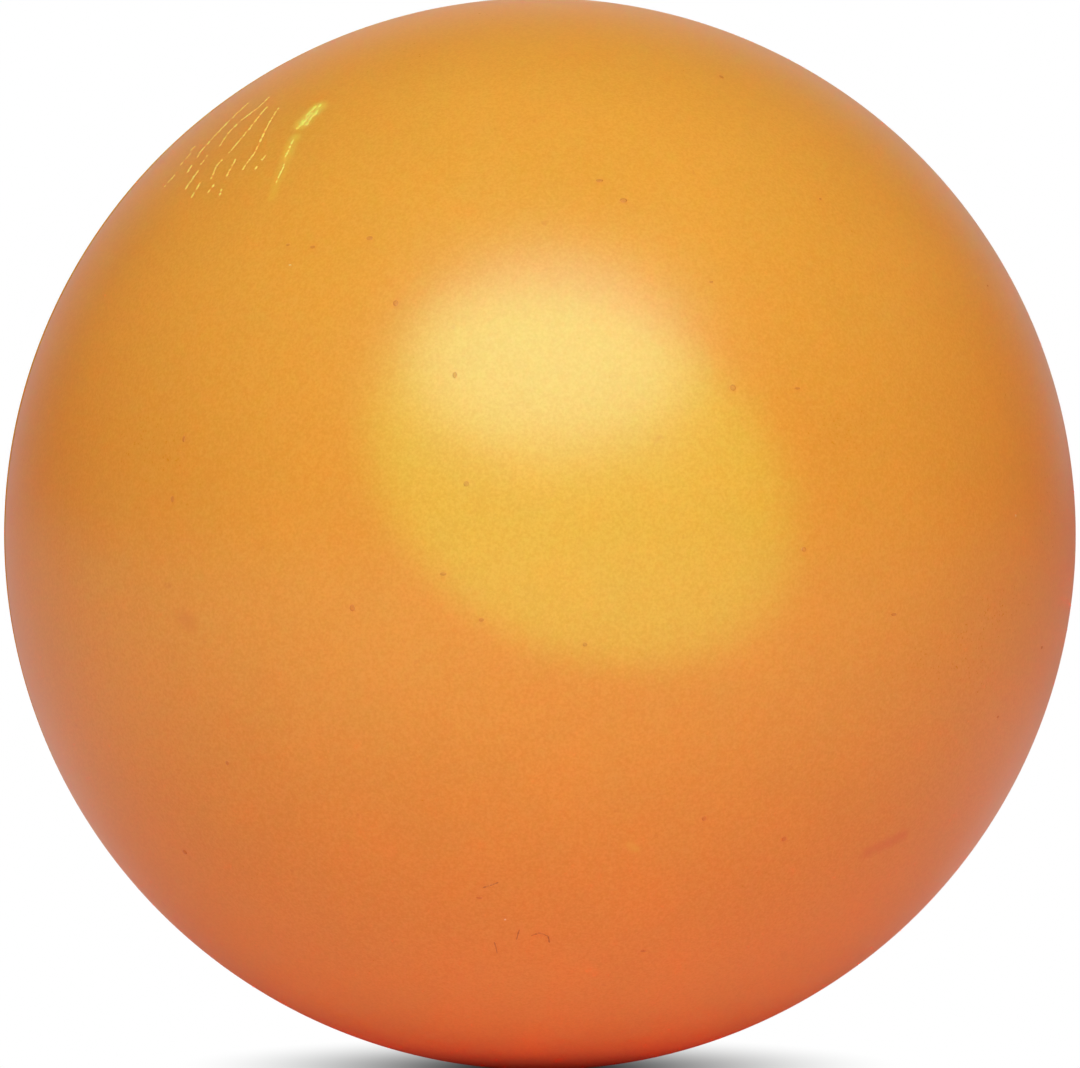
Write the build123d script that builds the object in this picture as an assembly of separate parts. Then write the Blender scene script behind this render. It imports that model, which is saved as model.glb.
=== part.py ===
from build123d import *
import math
import os

# Hollow rubber court ball: two moulded half shells cemented rim to rim.
# The ball's centre is the origin. The poles lie on the Y axis, the front half is on -Y,
# and the seam between the halves is the upright XZ plane.

# Driving dimensions, in millimetres
ball_diameter = 57.15  # two and a quarter inches, the size that the game's rules give
wall_thickness = 4.3  # leaves the ball at about 40 g in a rubber of 1.05 g/cm3
cement_thickness = 0.2  # film of rubber cement between the two rims
rim_bevel = 0.9  # bevel at a rim's inner edge, where surplus cement gathers
bead_height = 0.5  # how far the bead of surplus cement stands into the cavity

# Worked out from the driving dimensions
outer_radius = ball_diameter / 2
inner_radius = outer_radius - wall_thickness
rim_offset = cement_thickness / 2  # from the seam plane to each rim
bevel_depth = rim_offset + rim_bevel  # from the seam plane to a bevel's far edge


def reach(radius, offset):
    """Distance from the pole axis to a sphere of that radius, that far from the seam plane."""
    return math.sqrt(radius**2 - offset**2)


# Corners of the seam's section, as distances from the pole axis
rim_outer = reach(outer_radius, rim_offset)
rim_inner = reach(inner_radius, rim_offset) + rim_bevel  # where the flat rim meets its bevel
bevel_inner = reach(inner_radius, bevel_depth)  # where the bevel meets the inner wall
bead_inner = inner_radius - bead_height


def turned(*edges):
    """A closed section of the edges, turned about the pole axis."""
    section = make_face(Curve() + list(edges))
    return revolve(section, axis=Axis.Y)


def half_shell(side):
    """One moulded half, on the front (side = -1) or at the rear (side = 1)."""
    pole = (0, side * outer_radius)
    inner_pole = (0, side * inner_radius)
    rim_corner = (rim_outer, side * rim_offset)
    rim_edge = (rim_inner, side * rim_offset)
    bevel_edge = (bevel_inner, side * bevel_depth)
    half_turn = math.sqrt(0.5)
    outer_middle = (outer_radius * half_turn, side * outer_radius * half_turn)
    inner_middle = (inner_radius * half_turn, side * inner_radius * half_turn)
    return turned(
        ThreePointArc(pole, outer_middle, rim_corner),
        Line(rim_corner, rim_edge),
        Line(rim_edge, bevel_edge),
        ThreePointArc(bevel_edge, inner_middle, inner_pole),
        Line(inner_pole, pole),
    )


def cement_ring():
    """The film between the rims, flush outside, with its bead filling both bevels inside."""
    front_corner = (rim_outer, -rim_offset)
    rear_corner = (rim_outer, rim_offset)
    front_edge = (rim_inner, -rim_offset)
    rear_edge = (rim_inner, rim_offset)
    front_bead = (bevel_inner, -bevel_depth)
    rear_bead = (bevel_inner, bevel_depth)
    return turned(
        ThreePointArc(front_corner, (outer_radius, 0), rear_corner),
        Line(rear_corner, rear_edge),
        Line(rear_edge, rear_bead),
        ThreePointArc(rear_bead, (bead_inner, 0), front_bead),
        Line(front_bead, front_edge),
        Line(front_edge, front_corner),
    )


pieces = {
    "front_half_shell": half_shell(-1),
    "rear_half_shell": half_shell(1),
    "seam_cement": cement_ring(),
}

os.makedirs("parts", exist_ok=True)
for name, piece in pieces.items():
    export_step(piece, f"parts/{name}.step")
    print(name, "volume", round(piece.volume / 1000, 3), "cm3")
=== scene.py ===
import bpy
import math
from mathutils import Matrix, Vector


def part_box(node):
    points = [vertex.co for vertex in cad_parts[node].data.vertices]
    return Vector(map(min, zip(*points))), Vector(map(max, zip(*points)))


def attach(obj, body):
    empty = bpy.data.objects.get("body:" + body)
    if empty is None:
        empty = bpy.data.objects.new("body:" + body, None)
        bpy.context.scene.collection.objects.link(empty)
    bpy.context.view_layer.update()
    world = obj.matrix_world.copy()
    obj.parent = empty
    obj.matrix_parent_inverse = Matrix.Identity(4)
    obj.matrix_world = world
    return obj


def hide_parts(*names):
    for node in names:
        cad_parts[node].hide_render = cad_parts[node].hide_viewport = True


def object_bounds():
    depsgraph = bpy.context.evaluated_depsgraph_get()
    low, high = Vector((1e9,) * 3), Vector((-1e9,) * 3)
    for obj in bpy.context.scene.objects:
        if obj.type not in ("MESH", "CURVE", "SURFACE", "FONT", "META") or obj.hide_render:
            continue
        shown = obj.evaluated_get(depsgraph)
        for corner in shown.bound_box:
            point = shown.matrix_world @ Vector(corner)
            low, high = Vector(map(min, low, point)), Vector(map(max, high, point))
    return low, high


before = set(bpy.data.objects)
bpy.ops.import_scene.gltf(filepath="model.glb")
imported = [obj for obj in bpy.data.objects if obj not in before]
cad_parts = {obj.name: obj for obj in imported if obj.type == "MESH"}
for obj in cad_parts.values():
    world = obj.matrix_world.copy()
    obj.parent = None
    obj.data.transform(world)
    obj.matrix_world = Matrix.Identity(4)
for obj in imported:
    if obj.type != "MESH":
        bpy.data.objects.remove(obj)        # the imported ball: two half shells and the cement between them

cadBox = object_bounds()
scene = bpy.context.scene
mm = 0.001
ballRadius = cadBox[1].y                 # the ball's centre is the origin
rimOffset = -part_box("front_half_shell")[1].y      # from the seam plane to each rim
print("ball radius", round(ballRadius / mm, 3), "mm, rims", round(rimOffset / mm, 3), "mm off the seam")


# node trees, for shapes and for finishes alike

class Wire:
    # one output socket; an expression on it adds the nodes that work it out
    def __init__(self, tree, socket=None):
        self.tree = tree
        self.socket = socket

    def node(self, kind, settings=None, sockets=None, out=0):
        made = self.tree.nodes.new(kind)
        for name, value in (settings or {}).items():
            setattr(made, name, value)
        for name, value in (sockets or {}).items():
            for one in value if isinstance(value, list) else [value]:
                if isinstance(one, Wire):
                    self.tree.links.new(one.socket, made.inputs[name])
                else:
                    made.inputs[name].default_value = one
        return Wire(self.tree, made.outputs[out]) if made.outputs else None

    def other(self, name):               # another output of the same node
        return Wire(self.tree, self.socket.node.outputs[name])

    @staticmethod
    def isVector(value):
        return isinstance(value, tuple) or isinstance(value, Wire) and value.socket.type == "VECTOR"

    def maths(self, operation, *values):
        kind = "ShaderNodeVectorMath" if any(map(self.isVector, values)) else "ShaderNodeMath"
        return self.node(kind, {"operation": operation}, dict(enumerate(values)))

    def __add__(self, value):
        return self.maths("ADD", self, value)

    def __radd__(self, value):
        return self.maths("ADD", value, self)

    def __sub__(self, value):
        return self.maths("SUBTRACT", self, value)

    def __rsub__(self, value):
        return self.maths("SUBTRACT", value, self)

    def __mul__(self, value):
        if self.isVector(self) and not self.isVector(value):
            return self.node("ShaderNodeVectorMath", {"operation": "SCALE"}, {0: self, "Scale": value})
        return self.maths("MULTIPLY", self, value)

    def __rmul__(self, value):
        return self.maths("MULTIPLY", value, self)

    def __truediv__(self, value):
        return self.maths("DIVIDE", self, value)

    def __rtruediv__(self, value):
        return self.maths("DIVIDE", value, self)

    def part(self, letter):
        return self.node("ShaderNodeSeparateXYZ", None, {0: self}, letter)

    def length(self):
        return self.node("ShaderNodeVectorMath", {"operation": "LENGTH"}, {0: self}, "Value")

    def along(self, direction):
        sockets = {0: self, 1: direction}
        return self.node("ShaderNodeVectorMath", {"operation": "DOT_PRODUCT"}, sockets, "Value")

    def unit(self):
        return self.maths("NORMALIZE", self)

    def fade(self, start, end, low=0.0, high=1.0):      # a smooth step from start to end
        places = {"Value": self, "From Min": start, "From Max": end, "To Min": low, "To Max": high}
        return self.node("ShaderNodeMapRange", {"interpolation_type": "SMOOTHSTEP"}, places)

    def blend(self, first, second):                     # this factor mixes two colours
        settings = {"data_type": "RGBA", "clamp_factor": True}
        return self.node("ShaderNodeMix", settings, {0: self, 6: first, 7: second}, 2)


def newTree(name, inputs):
    tree = bpy.data.node_groups.new(name, "GeometryNodeTree")
    tree.is_modifier = True
    tree.interface.new_socket("Geometry", in_out="INPUT", socket_type="NodeSocketGeometry")
    for label, kind in inputs.items():
        tree.interface.new_socket(label, in_out="INPUT", socket_type="NodeSocket" + kind)
    tree.interface.new_socket("Geometry", in_out="OUTPUT", socket_type="NodeSocketGeometry")
    group = tree.nodes.new("NodeGroupInput")
    given = {socket.name: Wire(tree, socket) for socket in group.outputs if socket.name}
    return Wire(tree), given


def closeTree(start, geometry, material):
    solid = start.node("GeometryNodeRealizeInstances", None, {"Geometry": geometry})
    dressed = start.node("GeometryNodeSetMaterial", None, {"Geometry": solid, "Material": material})
    start.node("NodeGroupOutput", None, {"Geometry": dressed})


def growPiece(name, tree, values, base=None):
    holder = bpy.data.objects.new(name + "Holder", base or bpy.data.meshes.new(name + "Base"))
    scene.collection.objects.link(holder)
    modifier = holder.modifiers.new("grow", "NODES")
    modifier.node_group = tree
    for item in tree.interface.items_tree:
        if item.in_out == "INPUT" and item.name in values:
            modifier[item.identifier] = values[item.name]
    grown = holder.evaluated_get(bpy.context.evaluated_depsgraph_get())
    mesh = bpy.data.meshes.new_from_object(grown)
    bpy.data.objects.remove(holder)
    mesh.name = name
    piece = bpy.data.objects.new(name, mesh)
    scene.collection.objects.link(piece)
    print("grew", name, "with", len(mesh.polygons), "faces")
    return piece


# camera: the photo's view, a little to the left of the front pole

photoView = {
    "size": (1080, 1068),                # the photo's pixels
    "ballPixels": 1072,                  # the ball's width in them
    "azimuth": -6.5,
    "elevation": 2.5,
    "distance": 0.6,
    "sensor": 36.0,                      # mm
}


def fromCentre(azimuth, elevation, distance):
    a, e = math.radians(azimuth), math.radians(elevation)
    return Vector((math.sin(a) * math.cos(e), -math.cos(a) * math.cos(e), math.sin(e))) * distance


def aim(thing, place, target=(0.0, 0.0, 0.0)):
    thing.location = place
    thing.rotation_euler = (Vector(target) - place).to_track_quat("-Z", "Y").to_euler()


halfBall = math.asin(ballRadius / photoView["distance"])          # half the angle that the ball fills
halfFrame = math.tan(halfBall) * photoView["size"][0] / photoView["ballPixels"]
lens = bpy.data.cameras.new("photoCamera")
lens.sensor_width = photoView["sensor"]
lens.lens = photoView["sensor"] / 2 / halfFrame
camera = bpy.data.objects.new("photoCamera", lens)
aim(camera, fromCentre(photoView["azimuth"], photoView["elevation"], photoView["distance"]))
scene.collection.objects.link(camera)
scene.camera = camera


def onBall(pixel):                       # the point of the ball that a pixel of the photo shows
    width, height = photoView["size"]
    across = (pixel[0] - width / 2) / (width / 2) * halfFrame
    up = (height / 2 - pixel[1]) / (width / 2) * halfFrame
    ray = (camera.rotation_euler.to_matrix() @ Vector((across, up, -1))).normalized()
    nearest = -camera.location.dot(ray)
    miss = camera.location + ray * nearest
    return camera.location + ray * (nearest - math.sqrt(max(ballRadius ** 2 - miss.length_squared, 0)))


# finishes

rubberFinish = {
    "deep": (0.765, 0.309, 0.030, 1),
    "light": (0.815, 0.361, 0.054, 1),
    "pigment": (0.66, 0.20, 0.022, 1),
    "roughness": 0.30,
    "ior": 1.5,
    "mirror": 0.5,                       # specular level
    "bloom": 0.02,                       # the dusty sheen that ground rubber has at its edges
    "bloomRoughness": 0.3,
    "scattering": 1.0,
    "scatter": (1.0, 0.5, 0.2),
    "scatterDepth": 2.5 * mm,
    "through": (0.10, 0.0050, 0.0027, 1),     # what comes through the wall from the cavity
    # painted shade: heights between which the glow through the wall dies away towards the floor contact
    "contact": (-ballRadius - 0.325 * mm, -ballRadius + 2.075 * mm),
    "cloudSize": 9 * mm,
    "grainSize": 0.13 * mm,
    "fleckSize": 0.7 * mm,
    "grainShare": 0.8,                   # of the tone; the clouds give the rest
    "toneSpan": (0.32, 0.68),            # noise levels between the deep and the light colour
    "fleckSpan": (0.68, 0.8),
    "fleckStrength": 0.35,
    "cloudRoughness": 0.06,
    "grainRoughness": 0.08,
    "bumpStrength": 0.2,
    "bumpDepth": 0.02 * mm,
    "grainSpan": (0.3, 0.7),
    "glowSpan": (0.92, 0.98),            # how the grain thins and thickens the glow
}
# the rear half's rim is dull, by the photo's left edge: distances from the seam where that fades out
rearFinish = {**rubberFinish, "band": (2.5 * mm, 9 * mm)}
# rubbed places in the photo: ends in its pixels, half width, colour and strength
rubbedPlaces = [
    ((317, 108), (303, 123), 0.85 * mm, (0.92, 0.78, 0.13, 1), 0.72),
    ((294, 138), (286, 157), 0.62 * mm, (0.86, 0.62, 0.09, 1), 0.52),
    ((284, 165), (277, 181), 0.60 * mm, (0.84, 0.55, 0.08, 1), 0.40),
    ((275, 187), (272, 197), 0.45 * mm, (0.82, 0.50, 0.07, 1), 0.38),
    ((868, 852), (903, 836), 0.75 * mm, (0.74, 0.21, 0.03, 1), 0.55),
    ((630, 845), (636, 849), 0.40 * mm, (0.80, 0.48, 0.06, 1), 0.5),
    ((183, 618), (190, 622), 0.80 * mm, (0.72, 0.25, 0.03, 1), 0.5),
]


def newFinish(name):
    material = bpy.data.materials.new(name)
    material.use_nodes = True
    tree = material.node_tree
    tree.nodes.clear()
    start = Wire(tree)
    return material, start, start.node("ShaderNodeTexCoord", None, None, "Object")


noiseMiddle = 0.5                        # the level that a noise lies about


def noise(place, size, detail, seed):
    sockets = {"Vector": place, "W": seed, "Scale": 1 / size, "Detail": detail}
    return place.node("ShaderNodeTexNoise", {"noise_dimensions": "4D"}, sockets)


def nearLine(place, first, last, width):  # 1 along the line between two points, 0 beyond the width
    run = last - first
    offset = place - tuple(first)
    share = place.node("ShaderNodeClamp", None, {"Value": offset.along(tuple(run)) / run.length_squared})
    foot = place.node("ShaderNodeVectorMath", {"operation": "SCALE"}, {0: tuple(run), "Scale": share})
    return (offset - foot).length().fade(width, 0.0)


def bumpFrom(start, height, form):
    sockets = {"Strength": form["bumpStrength"], "Distance": form["bumpDepth"], "Height": height}
    return start.node("ShaderNodeBump", None, sockets)


def coat(start, colour, roughness, bump, form):
    sockets = {
        "Base Color": colour,
        "Roughness": roughness,
        "IOR": form["ior"],
        "Specular IOR Level": form["mirror"],
        "Subsurface Weight": form["scattering"],
        "Subsurface Radius": form["scatter"],
        "Subsurface Scale": form["scatterDepth"],
        "Sheen Weight": form["bloom"],
        "Sheen Roughness": form["bloomRoughness"],
        "Normal": bump,
    }
    return start.node("ShaderNodeBsdfPrincipled", None, sockets)


def useRubber(start, place, colour, roughness, bump, grain, form):
    shader = coat(start, colour, roughness, bump, form)
    if "band" in form:
        beyond = place.part("Y").fade(*form["band"])
        dull = coat(start, colour, roughness, bump, {**form, "mirror": 0.0, "bloom": 0.0})
        shader = start.node("ShaderNodeMixShader", None, {0: beyond, 1: dull, 2: shader})
    through = start.node("ShaderNodeBsdfTranslucent", None, {"Color": form["through"]})
    glowing = start.node("ShaderNodeAddShader", None, {0: shader, 1: through})
    # painted shade: the glow through the wall is faded out low down, near the floor contact; the grain
    # thins and thickens it at random
    share = place.part("Z").fade(*form["contact"]) * grain.fade(*form["grainSpan"], *form["glowSpan"])
    whole = start.node("ShaderNodeMixShader", None, {0: share, 1: shader, 2: glowing})
    start.node("ShaderNodeOutputMaterial", None, {"Surface": whole})


def groundRubber(name, form, seed, marks):
    material, start, place = newFinish(name)
    clouds = noise(place, form["cloudSize"], detail=3.0, seed=seed)
    grain = noise(place, form["grainSize"], detail=2.0, seed=seed)
    flecks = noise(place, form["fleckSize"], detail=3.0, seed=seed + 1)
    tone = grain * form["grainShare"] + clouds * (1 - form["grainShare"])
    colour = tone.fade(*form["toneSpan"]).blend(form["deep"], form["light"])
    fleck = flecks.fade(*form["fleckSpan"], 0.0, form["fleckStrength"])
    colour = fleck.blend(colour, form["pigment"])
    for first, last, width, mark, strength in marks:
        mask = nearLine(place, onBall(first), onBall(last), width)
        colour = (mask * strength).blend(colour, mark)
    roughness = form["roughness"] + (clouds - noiseMiddle) * form["cloudRoughness"]
    roughness = roughness + (grain - noiseMiddle) * form["grainRoughness"]
    bump = bumpFrom(start, grain, form)
    useRubber(start, place, colour, roughness, bump, grain, form)
    return material


frontRubber = groundRubber("frontRubber", rubberFinish, seed=2.0, marks=rubbedPlaces)
rearRubber = groundRubber("rearRubber", rearFinish, seed=7.0, marks=[])
print("mixed the rubber")


# the two half shells: a dome outside, a dome inside, and the bevelled rim that joins them

shellForm = {
    "Segments": 96,                      # quads along a quarter turn
    "Outer Radius": ballRadius,
    "Inner Radius": ballRadius - 4.3 * mm,
    "Rim Offset": rimOffset,
    "Rim Bevel": 0.9 * mm,
    "Lip": 0.05 * mm,                    # rounding of the outer corner beside the seam
    "Unevenness": 0.03 * mm,
    "Uneven Size": 7 * mm,
}
evenRim = (1 * mm, 6 * mm)               # from the seam plane, where the unevenness begins and is full
lipTurns = (30, 60, 90)                  # degrees round the lip
creaseAngle = 35                         # degrees; a sharper edge isn't smoothed
mergeDistance = 0.001 * mm


def halfShellTree():
    inputs = {"Side": "Float", "Segments": "Int", "Seed": "Float", "Material": "Material"}
    inputs.update({label: "Float" for label in shellForm if label not in inputs})
    start, given = newTree("halfShell", inputs)
    side = given["Side"]
    position = start.node("GeometryNodeInputPosition")

    def turn(direction):                 # unit vector straight out from the pole axis
        return (direction * (1.0, 0.0, 1.0)).unit()

    def standAt(direction, reach, height):
        rise = start.node("ShaderNodeCombineXYZ", None, {"Y": height * side})
        return turn(direction) * reach + rise

    def dome(radius, rimHeight):
        count = given["Segments"] + 1
        corners = {"Size": (2, 2, 2), "Vertices X": count, "Vertices Y": count, "Vertices Z": count}
        cube = start.node("GeometryNodeMeshCube", None, corners)
        beyond = start.maths("LESS_THAN", position.part("Y") * side, 0.0)
        sockets = {"Geometry": cube, "Selection": beyond}
        half = start.node("GeometryNodeDeleteGeometry", {"domain": "FACE"}, sockets)
        even = start.maths("TANGENT", position * (math.pi / 4)).unit()      # evens out the cube's grid
        height = rimHeight + start.maths("ABSOLUTE", even.part("Y")) * (radius - rimHeight)
        reach = start.maths("SQRT", start.maths("MAXIMUM", radius * radius - height * height, 0.0))
        sockets = {"Geometry": half, "Position": standAt(even, reach, height)}
        return start.node("GeometryNodeSetPosition", None, sockets)

    def addRing(geometry, reach, height):
        single = start.node("GeometryNodeInputMeshEdgeNeighbors")
        border = start.maths("LESS_THAN", single, 1.5)       # edges with one face
        sockets = {"Mesh": geometry, "Selection": border, "Offset Scale": 0.0}
        longer = start.node("GeometryNodeExtrudeMesh", {"mode": "EDGES"}, sockets)
        there = standAt(position, reach, height)
        sockets = {"Geometry": longer, "Selection": longer.other("Top"), "Position": there}
        return start.node("GeometryNodeSetPosition", None, sockets)

    outer, inner = given["Outer Radius"], given["Inner Radius"]
    rim, lip = given["Rim Offset"], given["Lip"]
    bevelHeight = rim + given["Rim Bevel"]
    lipHeight = rim + lip
    lipReach = start.maths("SQRT", outer * outer - lipHeight * lipHeight)
    bevelReach = start.maths("SQRT", inner * inner - bevelHeight * bevelHeight)
    rimReach = start.maths("SQRT", inner * inner - rim * rim) + given["Rim Bevel"]

    shell = dome(outer, lipHeight)
    lumps = noise(position, given["Uneven Size"], detail=1.0, seed=given["Seed"])
    nearRim = start.maths("ABSOLUTE", position.part("Y")).fade(*evenRim)
    sink = position.unit() * (lumps * nearRim * given["Unevenness"] * -1.0)
    shell = start.node("GeometryNodeSetPosition", None, {"Geometry": shell, "Offset": sink})
    for turned in lipTurns:              # the rounded outer corner
        angle = math.radians(turned)
        shell = addRing(shell, lipReach - lip * (1 - math.cos(angle)), lipHeight - lip * math.sin(angle))
    shell = addRing(shell, rimReach, rim)
    shell = addRing(shell, bevelReach, bevelHeight)
    lining = start.node("GeometryNodeFlipFaces", None, {"Mesh": dome(inner, bevelHeight)})
    whole = start.node("GeometryNodeJoinGeometry", None, {"Geometry": [shell, lining]})
    sockets = {"Geometry": whole, "Distance": mergeDistance}
    whole = start.node("GeometryNodeMergeByDistance", None, sockets)
    whole = start.node("GeometryNodeSetShadeSmooth", None, {0: whole})
    bend = start.node("GeometryNodeInputMeshEdgeAngle")
    sharp = start.maths("GREATER_THAN", bend, math.radians(creaseAngle))
    sockets = {0: whole, "Selection": sharp, "Shade Smooth": False}
    whole = start.node("GeometryNodeSetShadeSmooth", {"domain": "EDGE"}, sockets)
    closeTree(start, whole, given["Material"])
    return start.tree


shellTree = halfShellTree()
frontForm = {**shellForm, "Side": -1.0, "Seed": 1.0, "Material": frontRubber}
rearForm = {**shellForm, "Side": 1.0, "Seed": 5.0, "Material": rearRubber}
frontShell = growPiece("front_half", shellTree, frontForm)
rearShell = growPiece("rear_half", shellTree, rearForm)
for shell, node in ((frontShell, "front_half_shell"), (rearShell, "rear_half_shell")):
    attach(shell, "root")
    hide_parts(node)


# the cement shows as a hairline round the seam

cementForm = {
    **rubberFinish,
    "deep": (0.64, 0.23, 0.026, 1),
    "light": (0.74, 0.29, 0.034, 1),
    "toneSpan": (0.35, 0.65),
    "roughness": 0.4,
    "streakRoughness": 0.15,
    "streakSize": 0.6 * mm,
    "bumpStrength": 0.3,
    "bumpDepth": 0.03 * mm,
}


def cementFinish(form):
    material, start, place = newFinish("rubberCement")
    streaks = noise(place, form["streakSize"], detail=3.0, seed=4.0)
    colour = streaks.fade(*form["toneSpan"]).blend(form["deep"], form["light"])
    roughness = form["roughness"] + streaks * form["streakRoughness"]
    useRubber(start, place, colour, roughness, bumpFrom(start, streaks, form), streaks, form)
    return material


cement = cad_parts["seam_cement"]
cement.data.materials.clear()
cement.data.materials.append(cementFinish(cementForm))
print("dressed the seam")


# marks on the front half: scratches, hairlines and specks, each a chain of small dabs on the surface

dabForm = {
    "Spacing": 0.16 * mm,
    "Length": 0.13 * mm,
    "Width": 0.05 * mm,
    "Height": 0.010 * mm,
    "Stray": 0.03 * mm,                  # how far a dab lies off its line
    "Gaps": 0.15,                        # share of the dabs left out
    "Ball Radius": ballRadius,
    "Seed": 3,
}
lengthSpread = (0.6, 1.3)                # least and most of each dab's size, as shares of it
widthSpread = (0.5, 1.4)
heightSpread = (0.6, 1.2)
dabDetail = {"Segments": 8, "Rings": 5, "Radius": 1.0}
# what follows is in the photo's pixels
scratchLines = [
    [(270, 96), (259, 107), (240, 121), (229, 132), (220, 145)],
    [(266, 108), (248, 130), (229, 153), (217, 165), (211, 178)],
    [(247, 104), (229, 121), (210, 141), (200, 152)],
    [(279, 107), (270, 121), (260, 141), (255, 152), (243, 169)],
    [(235, 160), (227, 175)],
    [(213, 186), (207, 194)],
    [(197, 172), (184, 191)],
    [(199, 184), (192, 196)],
    [(189, 155), (182, 163)],
    [(207, 156), (201, 164)],
    [(221, 190), (220, 194)],
    [(174, 176), (165, 186)],
    [(264, 157), (256, 168)],
    [(202, 140), (192, 149)],
    [(198, 156), (188, 171)],
    [(294, 138), (290, 147), (285, 158)],
    [(284, 165), (280, 174), (276, 182)],
]
streakLines = [
    [(323, 102), (310, 115), (298, 128)],
    [(317, 105), (309, 113), (302, 121)],
    [(318, 110), (312, 117), (306, 124)],
]
hairLines = [
    [(519, 931), (517, 938)],
    [(533, 935), (540, 933), (548, 936), (549, 941)],
    [(495, 944), (497, 952)],
    [(485, 887), (497, 883)],
]
redSpecks = [
    (733, 388), (482, 620), (585, 645), (455, 375), (443, 574), (466, 484), (396, 303),
    (370, 238), (288, 245), (313, 247), (711, 282), (624, 200), (599, 181), (820, 199),
    (797, 388), (804, 549), (894, 614), (184, 439), (172, 499), (352, 608), (227, 763),
    (185, 852), (704, 818), (988, 286), (1042, 647), (998, 717), (722, 77), (784, 839),
    (644, 951), (479, 898),
]
paleSpecks = [(290, 265), (1016, 516), (505, 920), (260, 140)]

dabRubber = {
    **rubberFinish,
    "through": (0.113, 0.0036, 0.0019, 1),
    "scattering": 0.0,                   # too thin to scatter light
    "grainSize": 0.1 * mm,
    "roughness": 0.4,
    "grainRoughness": 0.2,
    "bumpStrength": 0.3,
    "bumpDepth": 0.01 * mm,
}
dirtRubber = {**dabRubber, "through": (0.106, 0.0026, 0.0015, 1)}
hairRubber = {**dabRubber, "through": (0.08, 0.0021, 0.0013, 1)}


def dabFinish(name, form, colour, deeper):
    material, start, place = newFinish(name)
    grain = noise(place, form["grainSize"], detail=2.0, seed=9.0)
    mixed = grain.fade(*form["grainSpan"]).blend(colour, deeper)
    roughness = form["roughness"] + grain * form["grainRoughness"]
    useRubber(start, place, mixed, roughness, bumpFrom(start, grain, form), grain, form)
    return material


def dabTree():
    kinds = {"Seed": "Int", "Material": "Material"}
    inputs = {label: kinds.get(label, "Float") for label in [*dabForm, "Material"]}
    start, given = newTree("dabChain", inputs)
    chain = start.node("GeometryNodeMeshToCurve", None, {"Mesh": given["Geometry"]})
    sockets = {"Curve": chain, "Length": given["Spacing"]}
    points = start.node("GeometryNodeCurveToPoints", {"mode": "LENGTH"}, sockets)
    tangent = points.other("Tangent")

    def chance(span, extra):             # a random number for each dab
        sockets = {2: span[0], 3: span[1], "Seed": given["Seed"] + extra}
        return start.node("FunctionNodeRandomValue", {"data_type": "FLOAT"}, sockets, 1)

    corners = {0: (-1, -1, -1), 1: (1, 1, 1), "Seed": given["Seed"] + 5}
    stray = start.node("FunctionNodeRandomValue", {"data_type": "FLOAT_VECTOR"}, corners)
    sockets = {"Geometry": points, "Offset": stray * given["Stray"]}
    points = start.node("GeometryNodeSetPosition", None, sockets)
    outward = start.node("GeometryNodeInputPosition").unit()
    points = start.node("GeometryNodeSetPosition", None, {
        "Geometry": points, "Position": outward * given["Ball Radius"]})
    axes = {"primary_axis": "Z", "secondary_axis": "X"}
    sockets = {"Primary Axis": outward, "Secondary Axis": tangent}
    turn = start.node("FunctionNodeAxesToRotation", axes, sockets)
    size = start.node("ShaderNodeCombineXYZ", None, {
        "X": given["Length"] * chance(lengthSpread, 1),
        "Y": given["Width"] * chance(widthSpread, 2),
        "Z": given["Height"] * chance(heightSpread, 3)})
    dab = start.node("GeometryNodeMeshUVSphere", None, dabDetail)
    dab = start.node("GeometryNodeSetShadeSmooth", None, {0: dab})
    kept = start.maths("GREATER_THAN", chance((0.0, 1.0), 4), given["Gaps"])
    dabs = start.node("GeometryNodeInstanceOnPoints", None, {
        "Points": points, "Selection": kept, "Instance": dab, "Rotation": turn, "Scale": size})
    closeTree(start, dabs, given["Material"])
    return start.tree


def lineMesh(name, lines):
    mesh = bpy.data.meshes.new(name)
    corners = []
    edges = []
    for line in lines:
        first = len(corners)
        corners += [onBall(pixel) for pixel in line]
        edges += [(first + i, first + i + 1) for i in range(len(line) - 1)]
    mesh.from_pydata(corners, edges, [])
    return mesh


chainTree = dabTree()


def addMarks(name, lines, material, changes):
    values = {**dabForm, **changes, "Material": material}
    piece = growPiece(name, chainTree, values, lineMesh(name + "Lines", lines))
    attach(piece, "root")
    return piece


speckRun = 0.3                           # pixels


def shortLines(pixels):                  # a speck is a line too short for a second dab
    return [[pixel, (pixel[0] + speckRun, pixel[1])] for pixel in pixels]


scuffed = dabFinish("scuffedRubber", dabRubber, (0.93, 0.82, 0.22, 1), (0.90, 0.68, 0.14, 1))
torn = dabFinish("tornRubber", dabRubber, (0.96, 0.80, 0.17, 1), (0.94, 0.69, 0.12, 1))
darkened = dabFinish("darkRubber", dirtRubber, (0.62, 0.20, 0.022, 1), (0.70, 0.25, 0.030, 1))
hairy = dabFinish("hairDirt", hairRubber, (0.50, 0.15, 0.02, 1), (0.60, 0.20, 0.03, 1))
dusty = dabFinish("paleDust", dabRubber, (0.85, 0.72, 0.45, 1), (0.85, 0.60, 0.30, 1))
scratchForm = {"Seed": 11, "Width": 0.065 * mm, "Length": 0.11 * mm, "Gaps": 0.25}
streakForm = {"Seed": 23, "Width": 0.11 * mm, "Gaps": 0.3}
hairForm = {"Seed": 31, "Width": 0.035 * mm, "Gaps": 0.0, "Stray": 0.008 * mm}
redForm = {"Seed": 43, "Length": 0.16 * mm, "Width": 0.13 * mm, "Gaps": 0.0}
paleForm = {"Seed": 57, "Length": 0.07 * mm, "Width": 0.06 * mm, "Gaps": 0.0}
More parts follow.
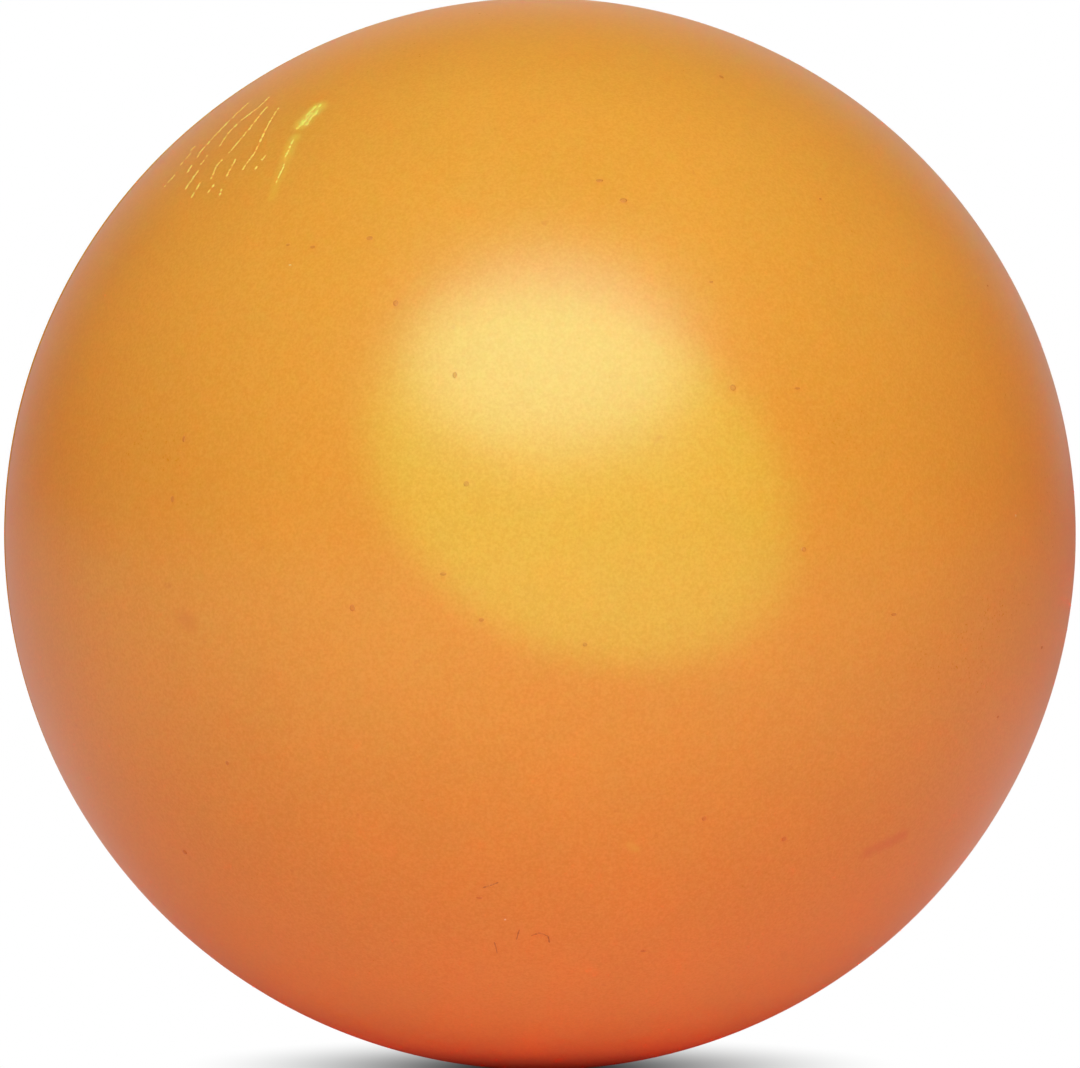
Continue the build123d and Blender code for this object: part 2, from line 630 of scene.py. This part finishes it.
marks = [
    addMarks("scuff_lines", scratchLines, scuffed, scratchForm),
    addMarks("scuff_streak", streakLines, torn, streakForm),
    addMarks("hair_lines", hairLines, hairy, hairForm),
    addMarks("red_specks", shortLines(redSpecks), darkened, redForm),
    addMarks("pale_specks", shortLines(paleSpecks), dusty, paleForm),
]
print("marked the front half")


# stage: a pale floor in a white room

stageForm = {
    "floorReach": 3.0,
    "floorPale": (0.48, 0.48, 0.48, 1),
    "paintedFloorShade": (0.10, 0.09, 0.09, 1),      # painted shade: the floor is made dark where the ball stands
    "paintedShadeReach": (3 * mm, 14 * mm),
    "shadowReach": (1 * mm, 20 * mm),    # from the contact out, where the shadow fades into the white
    "skyLight": 0.02,                    # what the room gives the ball besides the lamps
    "roomInGloss": 0.04,                 # how bright the room is in a reflection, at the sides
    "backdropInGloss": 0.46,             # and straight behind the ball
    "backdropSpan": (0.65, 1.0),         # cosines of the angle from straight behind
    "floorInGloss": 0.39,
    "sideTint": (0.40, 1.0, 1.0, 1),     # the room's colour in a reflection, to the left and the right
    "sideSpan": (0.05, 0.45),            # how far aside it begins and is full
    "floorTint": (0.72, 1.0, 0.96, 1),   # the floor's colour in a reflection
    "glossReach": (3 * mm, 75 * mm),     # from the contact out, where the mirrored floor grows bright
    "rightReach": (30 * mm, 110 * mm),   # and where it grows duller to the right
    "rightLoss": 0.55,
}


def seenWhite(start, toCamera, inGloss):  # how white it is to the camera, and in a reflection
    path = start.node("ShaderNodeLightPath", None, None, "Is Camera Ray")
    mirrored = start.maths("MAXIMUM", path.other("Is Glossy Ray"), path.other("Is Transmission Ray"))
    return start.maths("MAXIMUM", path * toCamera, mirrored * inGloss)


def cameraWhite(start, tint):            # white to the camera, tinted in a reflection
    path = start.node("ShaderNodeLightPath", None, None, "Is Camera Ray")
    return path.blend(tint, (1, 1, 1, 1))


def makeFloor():
    reach = stageForm["floorReach"]
    mesh = bpy.data.meshes.new("floor")
    corners = [(-reach, -reach), (reach, -reach), (reach, reach), (-reach, reach)]
    mesh.from_pydata([(x, y, -ballRadius) for x, y in corners], [], [(0, 1, 2, 3)])
    material, start, place = newFinish("paleFloor")
    fromContact = (place * (1.0, 1.0, 0.0)).length()
    # painted shade: the floor's colour turns dark towards where the ball stands, so little light bounces up
    # under the ball
    clear = fromContact.fade(*stageForm["paintedShadeReach"])
    tone = clear.blend(stageForm["paintedFloorShade"], stageForm["floorPale"])
    lit = start.node("ShaderNodeBsdfDiffuse", None, {"Color": tone})
    tint = cameraWhite(start, stageForm["floorTint"])
    white = start.node("ShaderNodeEmission", None, {"Color": tint, "Strength": 1.0})
    toCamera = fromContact.fade(*stageForm["shadowReach"])
    inGloss = fromContact.fade(*stageForm["glossReach"], 0.0, stageForm["floorInGloss"])
    towardsRight = place.part("X").fade(*stageForm["rightReach"], 1.0, 1 - stageForm["rightLoss"])
    inGloss = inGloss * towardsRight
    share = seenWhite(start, toCamera, inGloss)
    mixed = start.node("ShaderNodeMixShader", None, {0: share, 1: lit, 2: white})
    start.node("ShaderNodeOutputMaterial", None, {"Surface": mixed})
    mesh.materials.append(material)
    floor = bpy.data.objects.new("floor", mesh)
    scene.collection.objects.link(floor)
    return floor


def makeWorld():
    world = bpy.data.worlds.new("whiteRoom")
    world.use_nodes = True
    world.node_tree.nodes.clear()
    start = Wire(world.node_tree)
    direction = start.node("ShaderNodeTexCoord", None, None, "Generated")
    behind = direction.along(tuple(-camera.location.normalized()))
    levels = stageForm["roomInGloss"], stageForm["backdropInGloss"]
    inGloss = behind.fade(*stageForm["backdropSpan"], *levels)
    level = start.maths("MAXIMUM", seenWhite(start, 1.0, inGloss), stageForm["skyLight"])
    aside = start.maths("ABSOLUTE", direction.part("X")).fade(*stageForm["sideSpan"])
    tint = cameraWhite(start, aside.blend((1, 1, 1, 1), stageForm["sideTint"]))
    sky = start.node("ShaderNodeBackground", None, {"Color": tint, "Strength": level})
    start.node("ShaderNodeOutputWorld", None, {"Surface": sky})
    scene.world = world


# lamps: a soft box above the camera, a fill at its left, the glow inside the walls and a front spot

softBox = {
    "azimuth": -3.5,
    "elevation": 41.2,
    "distance": 0.5,
    "size": (0.52, 0.39),
    "power": 2.95,
    "colour": (0.52, 1.0, 0.77),
}
sideFill = {
    "azimuth": -29.5,
    "elevation": 17.5,
    "distance": 0.5,
    "size": (0.3, 0.3),
    "power": 0.3,
    "colour": (0.05, 0.94, 1.0),
}
middleGlow = {
    "place": (0.0, 0.0, 0.0),
    "radius": 4 * mm,
    "power": 0.0863,
    "colour": (1.0, 1.0, 1.0),
}
lowGlow = {
    "place": (0.0, -6 * mm, -8 * mm),
    "radius": 4 * mm,
    "power": 0.0381,
    "colour": (1.0, 1.0, 1.0),
}
frontPatch = {
    "middle": (581, 480),                # its centre in the photo's pixels
    "reach": 262,                        # along its longer axis
    "squeeze": 0.74,
    "tilt": -31.5,
    "blend": 0.5,
    "power": 6.4,
    "colour": (0.02, 1.0, 0.79),
}


def addLamp(name, kind, form):
    light = bpy.data.lights.new(name, kind)
    light.energy = form["power"]
    light.color = form["colour"]
    lamp = bpy.data.objects.new(name, light)
    lamp.visible_camera = False
    scene.collection.objects.link(lamp)
    return light, lamp


def lightBall():
    for name, form in (("softBox", softBox), ("sideFill", sideFill)):
        light, lamp = addLamp(name, "AREA", form)
        light.shape = "ELLIPSE"
        light.size, light.size_y = form["size"]
        aim(lamp, fromCentre(form["azimuth"], form["elevation"], form["distance"]))
        lamp.visible_glossy = form is softBox

    lit = bpy.data.collections.new("litFromWithin")
    for piece in (frontShell, rearShell, cement, *marks):
        lit.objects.link(piece)
    shading = bpy.data.collections.new("shadesGlow")
    shading.objects.link(floor)
    for name, form in (("middleGlow", middleGlow), ("lowGlow", lowGlow)):
        light, lamp = addLamp(name, "POINT", form)
        light.shadow_soft_size = form["radius"]
        light.cycles.max_bounces = 0     # it only shows through the wall
        lamp.location = form["place"]
        lamp.light_linking.receiver_collection = lit
        lamp.light_linking.blocker_collection = shading

    light, lamp = addLamp("frontPatch", "SPOT", frontPatch)
    width = photoView["size"][0]
    halfAngle = math.atan(frontPatch["reach"] / (width / 2) * halfFrame)
    light.spot_size = 2 * halfAngle
    light.spot_blend = frontPatch["blend"]
    light.shadow_soft_size = 0.0
    aim(lamp, camera.location, onBall(frontPatch["middle"]))
    lamp.rotation_euler.rotate_axis("Z", math.radians(frontPatch["tilt"]))
    lamp.scale = (1.0, frontPatch["squeeze"], 1.0)
    lamp.visible_glossy = False


floor = makeFloor()
makeWorld()
lightBall()
scene.view_settings.view_transform = "Standard"
print("set the stage")
